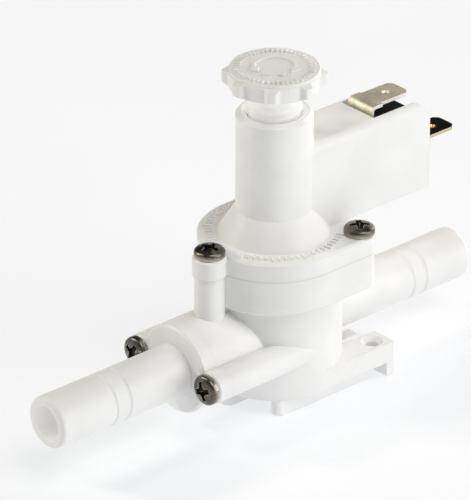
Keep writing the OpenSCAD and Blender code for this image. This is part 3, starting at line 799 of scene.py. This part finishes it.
for i in range(STROKE_COUNT):
    angle = 360 * i / STROKE_COUNT
    outer = STROKE_LONG_OUT if i % STROKE_LONG_EVERY == 0 else STROKE_OUT
    knob_mark([level_point(STROKE_IN, angle), level_point(outer, angle)], [STROKE_HALF_W] * 2)
arc_angles = range(-ARC_HALF_TURN, ARC_HALF_TURN + 1, ARC_STEP)
arc = [level_point(ARC_R, MARKS_FACE + 180 + angle) for angle in arc_angles]
head = [HEAD_HALF_W * k / HEAD_POINTS + HEAD_TIP_HALF_W for k in range(HEAD_POINTS + 1)]
knob_mark(arc, head + [ARC_HALF_W] * (len(arc) - 2 * len(head)) + head[::-1])
toward = level_point(1.0, MARKS_FACE)
beside = level_point(1.0, MARKS_FACE + 90)
for sign in (1, -1):
    middle = level_point(ARC_R, MARKS_FACE + sign * SIGN_SWING)
    knob_mark([middle - beside * SIGN_HALF, middle + beside * SIGN_HALF], [SIGN_HALF_W] * 2)
for end in (SIGN_HALF, -SIGN_HALF):
    middle = level_point(ARC_R, MARKS_FACE + SIGN_SWING)
    inner = math.copysign(SIGN_HALF_W - SIGN_LAP, end)
    knob_mark([middle + toward * end, middle + toward * inner], [SIGN_HALF_W] * 2)
knob_marks = add_piece("adjuster_knob_marks", points, faces, knob_plastic)
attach(knob_marks, "knob")


# Snap switch
# A miniature snap switch slid into the housing: black moulded case and lid,
# a red plunger, and inside a brass blade that rocks on a small return spring
# and closes silver contacts.
RETURN_SPRING = {
    "start": Vector((29.6, 0, 43.9)), "end": Vector((29.6, 0, 45.7)),
    "mean_d": 2.8, "wire": 0.3, "turns": 2,
}


def sheet_metal(name, dark, light, gloss):
    """Rolled strip with fine lines along X and a few stains."""
    finish, shader, place = new_finish(name, {"Metallic": 1.0})
    lines = place.stretched(x=0.06, y=1.0, z=1.0).noise(size=0.12, detail=3.0)
    stain = place.noise(size=1.8, detail=4.0)
    (0.5 * lines + 0.5 * stain).step(low=0.3, high=0.7).tint(dark, light).feeds(shader, "Base Color")
    (gloss + 0.15 * lines + 0.1 * stain).feeds(shader, "Roughness")
    rough_skin(shader, soft_edges(place, radius=0.08), lines, depth=0.01, strength=0.2)
    return finish


DULL = {"IOR": 1.5, "Specular IOR Level": 0.15}

switch_plastic = moulded_plastic(
    "black_phenolic", DULL,
    dark=(0.003, 0.003, 0.0035), light=(0.007, 0.007, 0.0075), gloss=0.5, edge=0.15, skin=0.3,
)
plunger_plastic = moulded_plastic(
    "red_nylon", DULL, dark=(0.36, 0.035, 0.02), light=(0.45, 0.05, 0.03), gloss=0.3, edge=0.15, skin=0.15,
)
blade_brass = sheet_metal("spring_brass", dark=(0.52, 0.36, 0.13), light=(0.66, 0.48, 0.2), gloss=0.22)
contact_silver = sheet_metal("contact_silver", dark=(0.66, 0.65, 0.62), light=(0.82, 0.81, 0.78), gloss=0.18)
dress(switch_plastic, "switch_case", "switch_lid")
dress(plunger_plastic, "switch_plunger")
dress(blade_brass, "contact_blade")
dress(contact_silver, "moving_contact", "fixed_contact")
rings = coil_rings(**RETURN_SPRING, first=0, last=1)
return_spring = add_piece("return_spring_wire", *skin_rings(rings), spring_steel)
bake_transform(return_spring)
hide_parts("return_spring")


# Spade terminals
# Two flat spades stamped from plated brass strip. The common one is bent over
# the top of the switch and stays satin. The end one is painted near black, a
# painted dark reflection. Both are lighter on faces turned towards +X or along
# Y: bare metal where the die sheared their edges, and painted reflection.
def stamped_strip(name, dark, light, sheared_and_reflection, gloss):
    """Rolled faces with lines along X and stains, lighter where faces turn towards +X or along Y: sheared
    edges and painted reflection.
    """
    finish, shader, place = new_finish(name, {"Metallic": 1.0})
    lines = place.stretched(x=0.05, y=1.0, z=1.0).noise(size=0.14, detail=3.0)
    stain = place.noise(size=2.4, detail=4.0)
    speck = place.noise(size=0.3, detail=3.0)
    facing = place.node("ShaderNodeNewGeometry", None, None, "Normal")
    endways = facing.node("ShaderNodeSeparateXYZ", None, {0: facing}, "X")
    sideways = facing.node("ShaderNodeSeparateXYZ", None, {0: facing}, "Y")
    # Lighter by facing direction: bare sheared edges and painted reflection.
    cut_and_reflection = endways.sum("MAXIMUM", endways, sideways.sum("ABSOLUTE", sideways)).step(low=0.45, high=0.75)
    face = (0.25 * lines + 0.35 * stain + 0.4 * speck).step(low=0.35, high=0.65).tint(dark, light)
    face.faded(cut_and_reflection, sheared_and_reflection).feeds(shader, "Base Color")
    (gloss + 0.12 * lines + 0.12 * stain).feeds(shader, "Roughness")
    rough_skin(shader, soft_edges(place, radius=0.1), lines, depth=0.012, strength=0.25)
    return finish


LATCH_X = 47.2
DIMPLE_R = 0.85
DIMPLE_SOFT = 0.3
DIMPLE_BRASS = (0.62, 0.44, 0.2)

com_metal = stamped_strip(
    "satin_tinned_brass",
    dark=(0.66, 0.61, 0.47), light=(0.95, 0.92, 0.78), sheared_and_reflection=(0.95, 0.94, 0.90), gloss=0.5,
)
# Near black all over: painted dark reflection.
end_metal = stamped_strip(
    "painted_dark_reflection_brass",
    dark=(0.02, 0.018, 0.015), light=(0.05, 0.045, 0.035), sheared_and_reflection=(0.66, 0.58, 0.42), gloss=0.25,
)
recolour(
    end_metal,
    lambda place: 1 - (place.axis(0) - LATCH_X).reach(place.axis(1)).step(
        DIMPLE_R, DIMPLE_R + DIMPLE_SOFT
    ),
    DIMPLE_BRASS,
)
dress(com_metal, "com_terminal")
dress(end_metal, "end_terminal")


# Floor and light
# A wide pale sheet that is lit from below and curves up far off, with soft
# studio lights round the fitting, so that the white mouldings are told apart
# by light shade alone.
FLOOR_MIDDLE_R = 1
FLOOR_R = 3200
COVE_R = 500
COVE_RINGS = 8
FLOOR_SIDES = 96
PAPER = {"Roughness": 0.9, "Specular IOR Level": 0.1, "Emission Strength": 1.0}
FLOOR_TONE = ((0.44, 0.44, 0.44), (0.46, 0.46, 0.46))
GLOW_NEAR = (0.55, 0.565, 0.585)
GLOW_FAR = (0.80, 0.80, 0.80)
FAR_TONE = (0.03, 0.03, 0.03)
FAR_FROM = 250
FAR_TO = 900
LIGHT_ROWS = (
    # name, place in metres, size in metres, watts, colour
    ("key_front_right", (0.45, -0.86, 0.40), 0.8, 4.4, (1.00, 1.00, 1.00)),
    ("back_left", (-0.60, 0.75, 0.55), 0.14, 3.5, (1.00, 0.94, 0.80)),
    ("overhead", (0.0, -0.50, 1.0), 0.7, 4.7, (1.00, 0.98, 0.95)),
    ("right_fill", (0.95, 0.15, 0.35), 0.6, 4.2, (1.00, 0.90, 0.85)),
    ("high_left", (-0.50, 0.45, 0.85), 0.2, 1.6, (1.00, 0.96, 0.90)),
)
WORLD_TONE = (0.02, 0.02, 0.02, 1.0)

rings = [round_ring(FLOOR_MIDDLE_R, 0, FLOOR_SIDES), round_ring(FLOOR_R, 0, FLOOR_SIDES)]
for i in range(1, COVE_RINGS + 1):
    turn = math.pi / 2 * i / COVE_RINGS
    reach = FLOOR_R + COVE_R * math.sin(turn)
    rings.append(round_ring(reach, COVE_R * (1 - math.cos(turn)), FLOOR_SIDES))
points, faces = skin_rings(rings)
foot, _lid, *sides = faces
floor_paper, shader, place = new_finish("floor_paper", PAPER)
far = place.axis(0).reach(place.axis(1)).step(FAR_FROM, FAR_TO)
clouds = place.noise(size=40.0, detail=3.0).step(low=0.2, high=0.8)
clouds.tint(*FLOOR_TONE).faded(far, FAR_TONE).feeds(shader, "Base Color")
far.tint(GLOW_NEAR, GLOW_FAR).feeds(shader, "Emission Color")
floor = add_piece("studio_floor", points, [foot, *sides], floor_paper)

for name, spot, size, watts, colour in LIGHT_ROWS:
    lamp = bpy.data.lights.new(name, "AREA")
    lamp.shape = "DISK"
    lamp.size = size
    lamp.energy = watts
    lamp.color = colour
    light = bpy.data.objects.new(name, lamp)
    light.location = spot
    light.rotation_euler = Vector(spot).to_track_quat("Z", "Y").to_euler()
    bpy.context.collection.objects.link(light)

world = bpy.data.worlds.new("studio_air")
world.use_nodes = True
world.node_tree.nodes["Background"].inputs["Color"].default_value = WORLD_TONE
bpy.context.scene.world = world
bpy.context.scene.view_settings.view_transform = "Standard"
